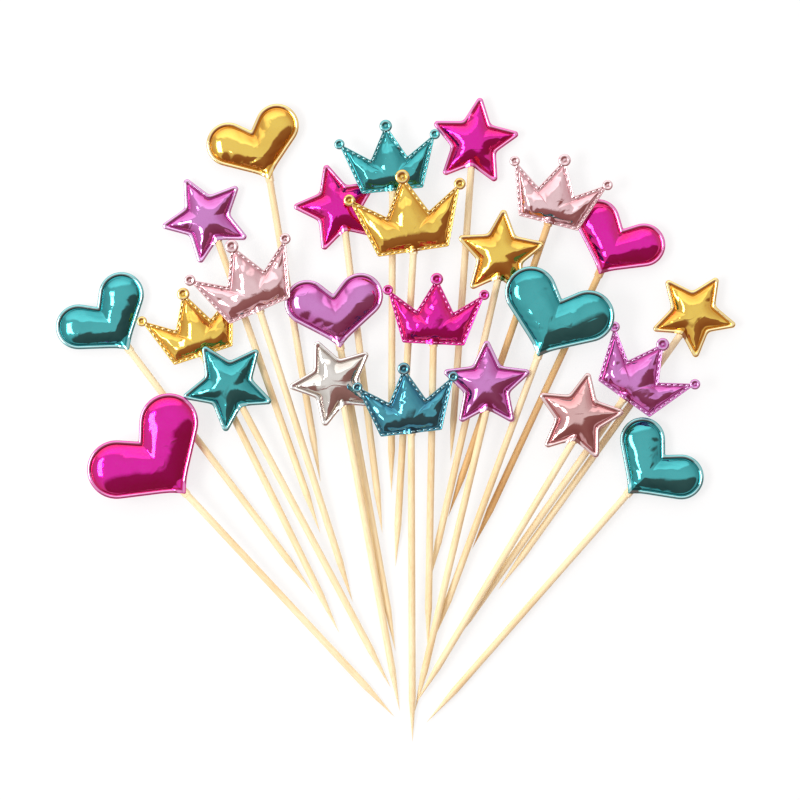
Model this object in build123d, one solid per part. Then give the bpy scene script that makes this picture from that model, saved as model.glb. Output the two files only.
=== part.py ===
"""A set of puffed cake toppers, laid out as a fan on a table.

Every topper is two padded patches, a front and a back, glued together over the top of a bamboo
stick. A patch is foil over sponge with a flat welded rim, cut as a heart, a star or a crown.
Lengths are in millimetres, +Z is up, and the fan lies on the plane z = 0.
"""

from build123d import *
from math import atan2, cos, degrees, hypot, pi, radians, sin, tan
from typing import NamedTuple
import os
import numpy as np

# Bamboo stick, with a sharpened point and a glued end
stick_d = 3.0
stick_len = 150.0
point_len = 18.0
point_sides = 10
point_ledge = 0.05
glue_t = 0.1
glue_bead = 1.0
glue_gap = 0.05

# Padded patch: a thin flat rim, and a cushion that swells out of it
rim_t = 0.8
rim_w = 1.6
puff_h = 2.8
cover_t = 0.7
cushion_profile = ((0.0, 0.0), (0.22, 0.5), (0.58, 0.86), (1.0, 1.0))

# Heart, drawn from its tip: a hollow, a straight flank, a round lobe and the notch
hollow_r = 34.5
tip_angle = 48.4
flank_angle = 35.0
flank_len = 13.6
lobe_r = 9.7
notch_angle = 45.7
heart_ridge = 6.4
rim_chords = 20
cushion_chords = 8

# Star, with five blunt points
star_point_r = 19.2
star_notch_r = 10.2
star_blunt_w = 1.8
star_ridge = 7.2

# Crown, with three spikes that end in discs
crown_base_w = 26.4
side_disc_x = 20.6
side_disc_y = 22.2
side_disc_d = 4.4
top_disc_y = 27.9
top_disc_d = 5.4
valley_x = 7.9
valley_y = 14.0
disc_neck = -0.6
disc_sides = 12
crown_ridge = 4.6

# How the toppers lie on each other
lay_gap = 0.3
lay_cell = 0.5
balance_share = 0.75
steepest = 0.2
slope_step = 0.0005


class Topper(NamedTuple):
    """One topper: its outline and size, where its stick goes into its head, how far the head and
    the stick lean to the right in degrees, and how deep the stick is glued in."""

    name: str
    outline: str
    size: float
    entry: tuple
    lean: float
    swing: float
    grip: float


# The fan from the lowest topper to the highest, in places on the table
FAN = (
    Topper("gold_heart", "heart", 0.97, (-54.5, 103.5), -21.0, -9.5, 17.5),
    Topper("purple_star_left", "star", 1.0, (-77.0, 77.5), -28.0, -19.25, 15.5),
    Topper("teal_heart_left", "heart", 1.0, (-115.0, 30.0), -37.0, -37.0, 18.0),
    Topper("magenta_star_left", "star", 1.0, (-22.0, 81.5), -16.5, -7.0, 18.0),
    Topper("magenta_star_top", "star", 1.0, (32.5, 109.5), 7.5, 4.0, 21.5),
    Topper("magenta_heart_right", "heart", 0.96, (87.5, 62.5), 28.0, 24.75, 19.5),
    Topper("gold_star_right", "star", 0.97, (123.0, 37.0), 33.0, 35.5, 14.0),
    Topper("teal_crown", "crown", 1.0, (-1.5, 98.5), -6.0, 0.25, 19.5),
    Topper("gold_crown_middle", "crown", 1.16, (7.5, 72.5), -8.5, 3.25, 13.5),
    Topper("pink_crown_right", "crown", 1.0, (65.5, 84.5), 14.5, 18.75, 16.0),
    Topper("gold_crown_left", "crown", 1.0, (-83.0, 27.5), -18.0, -26.0, 16.5),
    Topper("purple_heart", "heart", 1.0, (-24.0, 31.0), -7.5, -10.25, 16.5),
    Topper("pink_crown_left", "crown", 1.08, (-58.5, 47.0), -23.5, -17.5, 17.5),
    Topper("purple_crown", "crown", 1.03, (98.0, 9.0), 35.5, 35.0, 15.5),
    Topper("gold_star_middle", "star", 1.0, (44.0, 61.0), 4.5, 12.75, 14.5),
    Topper("teal_heart_middle", "heart", 1.15, (61.0, 27.5), 22.5, 20.0, 19.0),
    Topper("magenta_crown", "crown", 1.0, (16.0, 33.0), 3.0, 1.0, 17.0),
    Topper("teal_star", "star", 1.03, (-66.5, 6.0), -32.5, -27.75, 12.0),
    Topper("silver_star", "star", 1.0, (-22.5, 7.0), -23.5, -10.25, 14.5),
    Topper("purple_star_middle", "star", 1.0, (39.0, 5.0), 0.0, 13.25, 14.5),
    Topper("rose_star", "star", 1.0, (76.5, -8.5), 12.0, 30.75, 17.0),
    Topper("blue_crown", "crown", 1.0, (6.5, -5.0), -6.5, -0.25, 15.5),
    Topper("magenta_heart_left", "heart", 1.3, (-90.5, -31.5), -42.0, -42.75, 17.5),
    Topper("teal_heart_right", "heart", 1.0, (100.0, -32.0), 44.0, 41.25, 18.0),
)


def inset(corners, depth):
    """Move each side of a counter-clockwise outline inwards by a depth."""
    corners = np.asarray(corners, float)
    side = np.roll(corners, -1, axis=0) - corners
    after = np.column_stack((-side[:, 1], side[:, 0])) / np.linalg.norm(side, axis=1)[:, None]
    before = np.roll(after, 1, axis=0)
    return corners + depth * (after + before) / (1 + (after * before).sum(axis=1))[:, None]


# Heart


class HeartHalf:
    """The right half of a heart, with its tip at the origin and its notch on the Y axis.

    The hollow turns from the tip's angle to the flank's about a centre outside the heart, the
    flank runs on to the lobe, and the lobe turns until it points down into the notch.
    """

    def __init__(self, size):
        tip, flank, notch = radians(tip_angle), radians(flank_angle), radians(notch_angle)
        self.hollow_r = size * hollow_r
        self.lobe_r = size * lobe_r
        self.hollow_centre = (self.hollow_r * sin(tip), -self.hollow_r * cos(tip))
        self.hollow_turn = (pi / 2 + tip, pi / 2 + flank)
        bend = self.on_hollow(1)
        self.lobe_centre = (
            bend[0] + size * flank_len * cos(flank) - self.lobe_r * sin(flank),
            bend[1] + size * flank_len * sin(flank) + self.lobe_r * cos(flank),
        )
        self.lobe_turn = (flank - pi / 2, notch + pi / 2)
        shoulder = self.on_lobe(1)
        self.notch = (0.0, shoulder[1] - shoulder[0] * tan(notch))

    def on_hollow(self, share):
        """A point of the hollow, from the tip at 0 to the flank at 1."""
        angle = self.hollow_turn[0] + share * (self.hollow_turn[1] - self.hollow_turn[0])
        x, y = self.hollow_centre
        return (x + self.hollow_r * cos(angle), y + self.hollow_r * sin(angle))

    def on_lobe(self, share):
        """A point of the lobe, from the flank at 0 to the notch at 1."""
        angle = self.lobe_turn[0] + share * (self.lobe_turn[1] - self.lobe_turn[0])
        x, y = self.lobe_centre
        return (x + self.lobe_r * cos(angle), y + self.lobe_r * sin(angle))


def heart_ring(depth, size, chords=cushion_chords):
    """The corners of a heart drawn in by a depth, with its lobes cut into chords."""
    half = HeartHalf(size)
    right = [half.on_hollow(1)] + [half.on_lobe(i / chords) for i in range(chords + 1)]
    left = [(-x, y) for x, y in reversed(right)]
    return inset([half.on_hollow(0)] + right + [half.notch] + left, depth)


def heart_rim(size):
    """The heart's outline: arcs for the hollows, and fine chords for the lobes."""
    half = HeartHalf(size)
    hollow = ThreePointArc(half.on_hollow(0), half.on_hollow(0.5), half.on_hollow(1))
    over_lobes = Polyline(*map(tuple, heart_ring(0.0, size, rim_chords)[1:]))
    return make_face([hollow, over_lobes, mirror(hollow, about=Plane.YZ)])


# Star


def star_ring(depth, size):
    """The corners of a star drawn in by a depth, standing on the notch where its stick goes in.

    The sharp points lie where the sides would meet past the blunt ends.
    """
    notch = size * star_notch_r
    blunt = size * star_blunt_w / 2
    point = size * star_point_r
    narrowing = (point - notch * cos(pi / 5)) / (notch * sin(pi / 5) - blunt)
    radii = (point + blunt * narrowing, notch)
    corners = [
        (-radii[i % 2] * sin(i * pi / 5), notch + radii[i % 2] * cos(i * pi / 5)) for i in range(10)
    ]
    return inset(corners, depth)


def star_rim(size):
    """The star's outline, with its points cut blunt."""
    notch = size * star_notch_r
    corners = []
    for i in range(5):
        turn = Pos(0, notch) * Rot(0, 0, 72 * i)
        half_blunt = size * star_blunt_w / 2
        corners.append(turn * Pos(half_blunt, size * star_point_r))
        corners.append(turn * Pos(-half_blunt, size * star_point_r))
        corners.append(turn * Rot(0, 0, 36) * Pos(0, notch))
    return make_face(Polyline(*(corner.position for corner in corners), close=True))


# Crown


def crown_discs(size):
    """The discs at the ends of a crown's spikes: x, y and radius."""
    side = (size * side_disc_x, size * side_disc_y, size * side_disc_d / 2)
    top = (0.0, size * top_disc_y, size * top_disc_d / 2)
    return (side, top, (-side[0], side[1], side[2]))


def crown_ring(depth, size):
    """The corners of a crown drawn in by a depth, standing on the middle of its base."""
    foot = size * crown_base_w / 2
    valley = (size * valley_x, size * valley_y)
    side, top, _ = crown_discs(size)
    root = ((foot + valley[0]) / 2, valley[1] / 2)
    reach = hypot(side[0] - root[0], side[1] - root[1])
    drop = size * disc_neck / reach
    spike = (side[0] - drop * (side[0] - root[0]), side[1] - drop * (side[1] - root[1]))
    right = [(foot, 0.0), spike, valley]
    peak = (0.0, top[1] - size * disc_neck)
    left = [(-x, y) for x, y in reversed(right)]
    return inset(right + [peak] + left, depth)


def crown_rim(size):
    """The crown's outline with the discs on its spikes."""
    face = make_face(Polyline(*map(tuple, crown_ring(0.0, size)), close=True))
    for x, y, radius in crown_discs(size):
        face += Pos(x, y) * RegularPolygon(radius, disc_sides)
    return face


RIM = {"heart": heart_rim, "star": star_rim, "crown": crown_rim}
RING = {"heart": heart_ring, "star": star_ring, "crown": crown_ring}
RIDGE = {"heart": heart_ridge, "star": star_ridge, "crown": crown_ridge}


# Patches and sticks


def cushion_levels(topper):
    """How high the cushion stands over the patch's flat side, by depth inside the outline."""
    width = topper.size * RIDGE[topper.outline] - rim_w
    return [(rim_w + across * width, rim_t + up * puff_h) for across, up in cushion_profile]


def stick_tunnel(half_w):
    """Half a hexagon around the stick, as far from its axis as the half width given."""
    corner = half_w / cos(pi / 6)
    return make_face(
        Polyline((-corner, 0), (-corner / 2, half_w), (corner / 2, half_w), (corner, 0), close=True)
    )


def along_stick(section, start, end):
    """A section across the stick, carried from one distance along it to another."""
    across = Plane((0, start, 0), x_dir=(1, 0, 0), z_dir=(0, -1, 0))
    return extrude(across * section, amount=start - end)


def stick_reach(topper):
    """How far the stick's entry into the head lies from its point."""
    return stick_len - topper.grip


def stick_point(topper):
    """The place on the table over which the stick's point lies."""
    swing, reach = radians(topper.swing), stick_reach(topper)
    return (topper.entry[0] - reach * sin(swing), topper.entry[1] - reach * cos(swing))


def head_place(topper):
    """Where the front patch sits on a stick that points along +Y from the origin."""
    turn = Rot(0, 0, topper.swing - topper.lean)
    return Pos(0, stick_reach(topper), glue_gap / 2) * turn


def cushion(topper):
    """A mound of flat facets, through the outline drawn in step by step."""
    rings = [
        [(x, y, up) for x, y in RING[topper.outline](depth, topper.size)]
        for depth, up in cushion_levels(topper)
    ]
    facets = [rings[0], rings[-1]]
    for low, high in zip(rings, rings[1:]):
        facets += [(low[i - 1], low[i], high[i], high[i - 1]) for i in range(len(low))]
    return Solid(Shell([Face(Wire.make_polygon(corners)) for corners in facets]))


def front_patch(topper):
    """A rim and its cushion, glued down over the stick."""
    place = head_place(topper)
    outline = place * RIM[topper.outline](topper.size)
    glued = stick_d / 2 + glue_t
    entry = stick_reach(topper)
    cover = along_stick(
        stick_tunnel(glued + cover_t), entry - rim_w, entry + rim_w + puff_h
    )
    cover &= extrude(outline, amount=rim_t + puff_h)
    patch = extrude(outline, amount=rim_t) + place * cushion(topper) + cover
    return patch - along_stick(stick_tunnel(glued + glue_gap), entry - rim_w, stick_len + glue_gap)


def stick(topper):
    """A round stick with a whittled point, and hot glue around the end inside the head."""
    shank_end = stick_reach(topper) - glue_bead
    radius = stick_d / 2
    shank = along_stick(Circle(radius), point_len, shank_end)
    turns = [2 * pi * i / point_sides for i in range(point_sides)]
    cut_r = radius - point_ledge
    collar = Wire.make_polygon([(cut_r * cos(a), point_len, cut_r * sin(a)) for a in turns])
    point = Solid.make_loft([Vertex(0, 0, 0), collar], ruled=True)
    half = stick_tunnel(radius + glue_t)
    glue = along_stick(half + mirror(half, about=Plane.XZ), shank_end, stick_len)
    return shank + point + glue


# Laying the fan


def depth_inside(corners, x, y):
    """How far points lie inside an outline, or a negative number outside it."""
    nearest = np.full(x.shape, np.inf)
    inside = np.zeros(x.shape, bool)
    for (x0, y0), (x1, y1) in zip(corners, np.roll(corners, -1, axis=0)):
        dx, dy = x1 - x0, y1 - y0
        share = np.clip(((x - x0) * dx + (y - y0) * dy) / (dx * dx + dy * dy), 0, 1)
        nearest = np.minimum(nearest, np.hypot(x - x0 - share * dx, y - y0 - share * dy))
        crosses = (y0 > y) != (y1 > y)
        inside ^= crosses & ((x - x0) * dy * np.sign(dy) < (y - y0) * dx * np.sign(dy))
    return np.where(inside, nearest, -nearest)


def half_thickness(topper, along, across):
    """Half a topper's thickness at points along and across its stick, or -inf off it."""
    radius = stick_d / 2 * np.clip(along / point_len, 0, 1)
    on_stick = (along <= stick_len) & (np.abs(across) < radius)
    half = np.where(on_stick, np.sqrt(np.maximum(radius**2 - across**2, 0)), -np.inf)
    turn = radians(topper.lean - topper.swing)
    up = along - stick_reach(topper)
    x = across * cos(turn) - up * sin(turn)
    y = across * sin(turn) + up * cos(turn)
    if topper.outline == "heart":
        corners = heart_ring(0.0, topper.size, rim_chords)
    else:
        corners = RING[topper.outline](0.0, topper.size)
    depth = depth_inside(corners, x, y)
    depths, heights = zip(*cushion_levels(topper))
    patch = glue_gap / 2 + np.interp(depth, depths, heights)
    half = np.maximum(half, np.where(depth > 0, patch, -np.inf))
    if topper.outline == "crown":
        for disc_x, disc_y, disc_r in crown_discs(topper.size):
            on_disc = np.hypot(x - disc_x, y - disc_y) < disc_r
            half = np.maximum(half, np.where(on_disc, glue_gap / 2 + rim_t, -np.inf))
    return half


def lay(fan):
    """Lay toppers one by one: the height of each stick's point and the slope of each stick.

    A topper settles on the table and on those already there, clear of them by the lay gap, with
    the least height where it balances. Its stick may slope, and its head stays level across.
    """
    margin = stick_len / 2
    corners = np.array([place for topper in fan for place in (topper.entry, stick_point(topper))])
    low, high = corners.min(axis=0) - margin, corners.max(axis=0) + margin
    x, y = np.meshgrid(np.arange(low[0], high[0], lay_cell), np.arange(low[1], high[1], lay_cell))
    top = np.zeros(x.shape)
    slopes = np.arange(-steepest, steepest, slope_step)
    laid = []
    for topper in fan:
        swing = radians(topper.swing)
        point_x, point_y = stick_point(topper)
        dx, dy = x - point_x, y - point_y
        along = dx * sin(swing) + dy * cos(swing)
        across = dx * cos(swing) - dy * sin(swing)
        near = (along > 0) & (along < stick_len + margin) & (np.abs(across) < margin)
        half = np.full(x.shape, -np.inf)
        half[near] = half_thickness(topper, along[near], across[near])
        under = np.isfinite(half)
        need = top[under] + np.where(top[under] > 0, lay_gap, 0) + half[under]
        heights = (need[:, None] - slopes * along[under][:, None]).max(axis=0)
        best = np.argmin(heights + slopes * balance_share * stick_len)
        laid.append((heights[best], slopes[best]))
        over = heights[best] + slopes[best] * along + half
        top[under] = np.maximum(top[under], over[under])
    return laid


def table_place(topper, height, slope):
    """The move that lays a topper built along +Y from the origin on the table."""
    return (
        Pos(*stick_point(topper), height)
        * Rot(0, 0, -topper.swing)
        * Rot(degrees(atan2(slope, 1)), 0, 0)
    )


def build():
    """The solids of every node in their places, with the fan's box centred over the origin."""
    nodes = {}
    for topper, (height, slope) in zip(FAN, lay(FAN)):
        place = table_place(topper, height, slope)
        front = front_patch(topper)
        back = mirror(front, about=Plane.XY)
        nodes[topper.name + "_pads"] = (place * front).solids() + (place * back).solids()
        nodes[topper.name + "_stick"] = (place * stick(topper)).solids()
    box = Compound([solid for solids in nodes.values() for solid in solids]).bounding_box()
    centre = box.center()
    to_origin = Pos(-centre.X, -centre.Y, -box.min.Z)
    return {name: [to_origin * solid for solid in solids] for name, solids in nodes.items()}


os.makedirs("parts", exist_ok=True)
for name, solids in build().items():
    export_step(Compound(solids), f"parts/{name}.step")
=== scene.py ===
# %% [markdown]
# # A fan of padded foil cake toppers
# Each topper is a bamboo stick with a puffed heart, star or crown on its upper end. The head is two
# patches glued back to back, and a patch is metallic film over sponge, welded flat round its rim.
# The lesson starts from the packed solids: they say where every stick lies, and each new piece is
# worked out from them, so nothing has to be fitted by eye.

import math
from typing import NamedTuple

import bpy
import numpy as np
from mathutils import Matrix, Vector


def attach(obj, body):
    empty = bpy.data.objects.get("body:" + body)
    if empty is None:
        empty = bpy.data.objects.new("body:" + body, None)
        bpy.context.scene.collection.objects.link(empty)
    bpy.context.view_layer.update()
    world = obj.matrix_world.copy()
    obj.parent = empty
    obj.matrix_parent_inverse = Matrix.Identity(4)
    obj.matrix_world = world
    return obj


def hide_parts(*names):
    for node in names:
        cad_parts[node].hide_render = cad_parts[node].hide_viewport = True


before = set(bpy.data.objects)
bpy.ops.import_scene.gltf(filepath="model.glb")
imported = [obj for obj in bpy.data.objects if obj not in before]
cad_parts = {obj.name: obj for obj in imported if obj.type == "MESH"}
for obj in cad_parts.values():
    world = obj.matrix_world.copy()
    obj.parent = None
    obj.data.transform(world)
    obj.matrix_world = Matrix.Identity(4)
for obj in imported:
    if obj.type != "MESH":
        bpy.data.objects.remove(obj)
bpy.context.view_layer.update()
MM = 0.001

# %% [markdown]
# ## Which topper lies where
# The heads' outlines, sizes and leans are the ones that the solids were cut to. The place of a
# topper could be typed in again as well, but reading it off its stick is safer: the stick's point
# and its glued end give a line, and that line is the topper's own Y axis.

# %% The fan's list
class Topper(NamedTuple):
    """A topper: outline, size, stick entry (mm), lean of head and stick, glued depth and foil."""

    name: str
    outline: str
    size: float
    entry: tuple
    lean: float
    swing: float
    grip: float
    foil: str


FAN = (
    Topper("gold_heart", "heart", 0.97, (-54.5, 103.5), -21.0, -9.5, 17.5, "gold"),
    Topper("purple_star_left", "star", 1.0, (-77.0, 77.5), -28.0, -19.25, 15.5, "purple"),
    Topper("teal_heart_left", "heart", 1.0, (-115.0, 30.0), -37.0, -37.0, 18.0, "teal"),
    Topper("magenta_star_left", "star", 1.0, (-22.0, 81.5), -16.5, -7.0, 18.0, "magenta"),
    Topper("magenta_star_top", "star", 1.0, (32.5, 109.5), 7.5, 4.0, 21.5, "magenta"),
    Topper("magenta_heart_right", "heart", 0.96, (87.5, 62.5), 28.0, 24.75, 19.5, "magenta"),
    Topper("gold_star_right", "star", 0.97, (123.0, 37.0), 33.0, 35.5, 14.0, "gold"),
    Topper("teal_crown", "crown", 1.0, (-1.5, 98.5), -6.0, 0.25, 19.5, "teal"),
    Topper("gold_crown_middle", "crown", 1.16, (7.5, 72.5), -8.5, 3.25, 13.5, "gold"),
    Topper("pink_crown_right", "crown", 1.0, (65.5, 84.5), 14.5, 18.75, 16.0, "pink"),
    Topper("gold_crown_left", "crown", 1.0, (-83.0, 27.5), -18.0, -26.0, 16.5, "gold"),
    Topper("purple_heart", "heart", 1.0, (-24.0, 31.0), -7.5, -10.25, 16.5, "purple"),
    Topper("pink_crown_left", "crown", 1.08, (-58.5, 47.0), -23.5, -17.5, 17.5, "pink"),
    Topper("purple_crown", "crown", 1.03, (98.0, 9.0), 35.5, 35.0, 15.5, "purple"),
    Topper("gold_star_middle", "star", 1.0, (44.0, 61.0), 4.5, 12.75, 14.5, "gold"),
    Topper("teal_heart_middle", "heart", 1.15, (61.0, 27.5), 22.5, 20.0, 19.0, "teal"),
    Topper("magenta_crown", "crown", 1.0, (16.0, 33.0), 3.0, 1.0, 17.0, "magenta"),
    Topper("teal_star", "star", 1.03, (-66.5, 6.0), -32.5, -27.75, 12.0, "teal"),
    Topper("silver_star", "star", 1.0, (-22.5, 7.0), -23.5, -10.25, 14.5, "silver"),
    Topper("purple_star_middle", "star", 1.0, (39.0, 5.0), 0.0, 13.25, 14.5, "purple"),
    Topper("rose_star", "star", 1.0, (76.5, -8.5), 12.0, 30.75, 17.0, "rose"),
    Topper("blue_crown", "crown", 1.0, (6.5, -5.0), -6.5, -0.25, 15.5, "blue"),
    Topper("magenta_heart_left", "heart", 1.3, (-90.5, -31.5), -42.0, -42.75, 17.5, "magenta"),
    Topper("teal_heart_right", "heart", 1.0, (100.0, -32.0), 44.0, 41.25, 18.0, "teal"),
)
print("toppers:", len(FAN))

# %% Read each topper's place from its stick
STICK_LEN, END_BAND = 150.0, 0.6


class Place:
    """A topper's own axes in the row frame: Y along its stick from the point, Z out of its front.

    The point is the solid's vertex that lies furthest down the stick, and the glued end is the
    middle of the six corners at the other end. X is Y crossed with the upward direction.
    """

    def __init__(self, topper):
        swing = math.radians(topper.swing)
        run = np.array((math.sin(swing), math.cos(swing)))
        self.reach = STICK_LEN - topper.grip
        self.turn = math.radians(topper.lean) - swing
        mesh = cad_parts[topper.name + "_stick"].data
        corners = np.empty(3 * len(mesh.vertices))
        mesh.vertices.foreach_get("co", corners)
        corners = np.unique(corners.reshape(-1, 3).round(7), axis=0)
        along = corners[:, :2] @ run
        self.point = corners[along.argmin()]
        end = corners[along > along.max() - END_BAND * MM].mean(axis=0)
        y_axis = (end - self.point) / np.linalg.norm(end - self.point)
        x_axis = np.cross(y_axis, (0.0, 0.0, 1.0))
        x_axis /= np.linalg.norm(x_axis)
        self.axes = np.stack((x_axis, y_axis, np.cross(x_axis, y_axis)))
        self.entry = self.point + MM * self.reach * y_axis

    def from_stick(self, points):
        """Points in mm along the topper's own axes, carried into the row frame in metres."""
        return self.point + MM * np.asarray(points) @ self.axes

    def from_head(self, x, y, z):
        """Points of the head, measured from the stick's entry with Y up the head."""
        across = x * math.cos(self.turn) + y * math.sin(self.turn)
        up = self.reach - x * math.sin(self.turn) + y * math.cos(self.turn)
        return self.from_stick(np.stack(np.broadcast_arrays(across, up, z), axis=-1))


PLACES = {topper.name: Place(topper) for topper in FAN}
table_shift = np.mean([PLACES[t.name].entry[:2] - MM * np.array(t.entry) for t in FAN], axis=0)
print("the fan's list is moved by", (table_shift / MM).round(2), "mm")

# %% [markdown]
# ## The outlines
# A die cuts the patches, so an outline is a short list of corners: straight sides for the star and
# the crown, and arcs for the heart. Shrinking an outline towards its middle would be the easy way to
# the rings inside it, but a heart's rim would come out narrow at its notch and wide at its lobes.
# Here one rule draws the outline inwards by any depth: a corner moves along its mitre, the direction
# that keeps both of its sides parallel to where they were. That rule is linear in the depth, so all
# the rings of a patch come from one array expression.

# %% Corners of a heart
HOLLOW_R, FLANK_LEN, LOBE_R = 34.5, 13.6, 9.7
TIP_ANGLE, FLANK_ANGLE, NOTCH_ANGLE = np.radians((48.4, 35.0, 45.7))
HOLLOW_POINTS, LOBE_POINTS = 4, 25


def arc(centre, radius, start, end, count):
    """Points spread evenly over an arc: the centre plus the radius at each angle."""
    angle = np.linspace(start, end, count)
    return np.add(centre, radius * np.stack((np.cos(angle), np.sin(angle)), axis=-1))


def both_sides(right):
    """A right half that starts and ends on the middle line, and its mirror image."""
    return np.concatenate((right, right[-2:0:-1] * (-1, 1)))


def heart_corners():
    """From the tip: a hollow, a straight flank, a round lobe and the notch, then mirrored."""
    hollow_centre = HOLLOW_R * np.array((math.sin(TIP_ANGLE), -math.cos(TIP_ANGLE)))
    quarter = math.pi / 2
    hollow = arc(hollow_centre, HOLLOW_R, quarter + TIP_ANGLE, quarter + FLANK_ANGLE, HOLLOW_POINTS)
    cosine, sine = math.cos(FLANK_ANGLE), math.sin(FLANK_ANGLE)
    lobe_centre = hollow[-1] + FLANK_LEN * np.array((cosine, sine)) + LOBE_R * np.array((-sine, cosine))
    lobe = arc(lobe_centre, LOBE_R, FLANK_ANGLE - quarter, NOTCH_ANGLE + quarter, LOBE_POINTS)
    notch = (0.0, lobe[-1, 1] - lobe[-1, 0] * math.tan(NOTCH_ANGLE))
    return both_sides(np.concatenate((hollow, lobe, [notch])))


print("a heart has", len(heart_corners()), "corners")

# %% Corners of a star
STAR_POINTS, STAR_POINT_R, STAR_NOTCH_R, STAR_BLUNT = 5, 19.2, 10.2, 0.9


def star_corners():
    """Points and notches in turn, with the points where the sides would meet past their ends."""
    half = math.pi / STAR_POINTS
    narrowing = (STAR_POINT_R - STAR_NOTCH_R * math.cos(half)) / (
        STAR_NOTCH_R * math.sin(half) - STAR_BLUNT
    )
    radius = np.tile((STAR_POINT_R + STAR_BLUNT * narrowing, STAR_NOTCH_R), STAR_POINTS)
    angle = np.arange(2 * STAR_POINTS) * math.pi / STAR_POINTS
    return np.stack((-radius * np.sin(angle), STAR_NOTCH_R + radius * np.cos(angle)), axis=-1)


print("a star has", len(star_corners()), "corners")

# %% Corners of a crown
CROWN_FOOT, VALLEY, PAST_DISC = 13.2, (7.9, 14.0), 0.6
SIDE_DISC, TOP_DISC = (20.6, 22.2, 2.2), (0.0, 27.9, 2.7)


def crown_corners():
    """Foot, side spike, valley and peak, then mirrored; a spike runs just past its disc's middle."""
    root = np.array(((CROWN_FOOT + VALLEY[0]) / 2, VALLEY[1] / 2))
    spike = np.array(SIDE_DISC[:2])
    spike += PAST_DISC * (spike - root) / np.linalg.norm(spike - root)
    peak = (0.0, TOP_DISC[1] + PAST_DISC)
    middle = (0.0, 0.0)
    return both_sides(np.array((middle, (CROWN_FOOT, 0.0), spike, VALLEY, peak)))[1:]


CORNERS = {"heart": heart_corners(), "star": star_corners(), "crown": crown_corners()}
for outline, corners in CORNERS.items():
    print(outline, len(corners), "corners,", np.ptp(corners, axis=0).round(1), "mm")


# %% Moving corners inwards and rounding them
def mitres(corners):
    """How each corner moves per unit of depth: its two inward normals, added and evened out."""
    side = np.roll(corners, -1, axis=0) - corners
    after = np.stack((-side[:, 1], side[:, 0]), axis=-1) / np.linalg.norm(side, axis=1)[:, None]
    before = np.roll(after, 1, axis=0)
    return (after + before) / (1 + (after * before).sum(axis=1))[:, None]


def blur(loops, samples):
    """Round the corners of closed loops: damp each loop's high frequencies like a bell curve."""
    count = loops.shape[1]
    soft = np.exp(-2 * (math.pi * np.multiply.outer(samples, np.fft.rfftfreq(count))) ** 2)
    return np.fft.irfft(np.fft.rfft(loops, axis=1) * soft[..., None], n=count, axis=1)


star_mitres = np.linalg.norm(mitres(CORNERS["star"]), axis=1)[:2].round(2)
print("a star's point and notch move", star_mitres, "mm per mm of depth")

# %% Rings drawn in from an outline
CENTRE = {"heart": (0.0, 11.3), "star": (0.0, STAR_NOTCH_R), "crown": (0.0, 5.4)}
CORNER_R = {"heart": 0.45, "star": 1.1, "crown": 0.45}
BLUNT_EASE = 0.9


def blunted(topper, loops, depth):
    """Draw a star's points back to their blunt ends.

    A radius stays as it is up to a limit. What is past the limit fades into the ease beyond it.
    """
    middle = topper.size * np.array(CENTRE["star"])
    radius = np.linalg.norm(loops - middle, axis=-1, keepdims=True)
    limit = topper.size * STAR_POINT_R - BLUNT_EASE - depth
    past = np.maximum(radius - limit, 0)
    eased = radius - past + BLUNT_EASE * (1 - np.exp(-past / BLUNT_EASE))
    return middle + (loops - middle) * eased / radius


def rings(topper, depth, around, softening=0.0):
    """Closed loops at several depths: corners plus depth times mitre, then points along the sides.

    A side gets points in proportion to its length, the same for every depth, so that points with
    the same number lie behind each other. The corners are rounded by their own radius and the
    softening, and a star's points are drawn back to their blunt ends.
    """
    corners = topper.size * CORNERS[topper.outline]
    length = np.linalg.norm(np.roll(corners, -1, axis=0) - corners, axis=1)
    stops = np.round(np.concatenate(([0.0], length.cumsum())) / length.sum() * around).astype(int)
    counts = np.diff(stops)
    side = np.repeat(np.arange(len(corners)), counts)
    share = (np.arange(around) - stops[:-1][side]) / counts[side]
    rounding = CORNER_R[topper.outline] + np.broadcast_to(softening, np.shape(depth))
    depth = np.asarray(depth, float)[:, None, None]
    loops = corners + depth * mitres(corners)
    loops = loops[:, side] + share[:, None] * (np.roll(loops, -1, axis=1) - loops)[:, side]
    loops = blur(loops, rounding / (length.sum() / around))
    return blunted(topper, loops, depth) if topper.outline == "star" else loops


print("a star's rim is", np.ptp(rings(FAN[1], [0.0], 200)[0], axis=0).round(2), "mm")

# %% Rings of the cushion inside the weld
RIM_W = {"heart": 1.9, "star": 1.75, "crown": 1.6}
SOFTENING = 3.0


def cushion_rings(topper, share, around):
    """Rings of the cushion: the weld's loop, ever rounder, drawn in to its middle by each share."""
    weld = np.full(len(share), RIM_W[topper.outline])
    loops = rings(topper, weld, around, SOFTENING * share)
    middle = topper.size * np.array(CENTRE[topper.outline])
    return loops + share[:, None, None] * (middle - loops)


heart_rings = cushion_rings(FAN[0], np.linspace(0, 1, 5), 60)
print("a heart's rings are", np.ptp(heart_rings, axis=1)[:, 0].round(1), "mm wide")

# %% How deep a point lies inside the weld
WELD_POINTS, LEAST_OFF = 120, 1e-6


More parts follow.
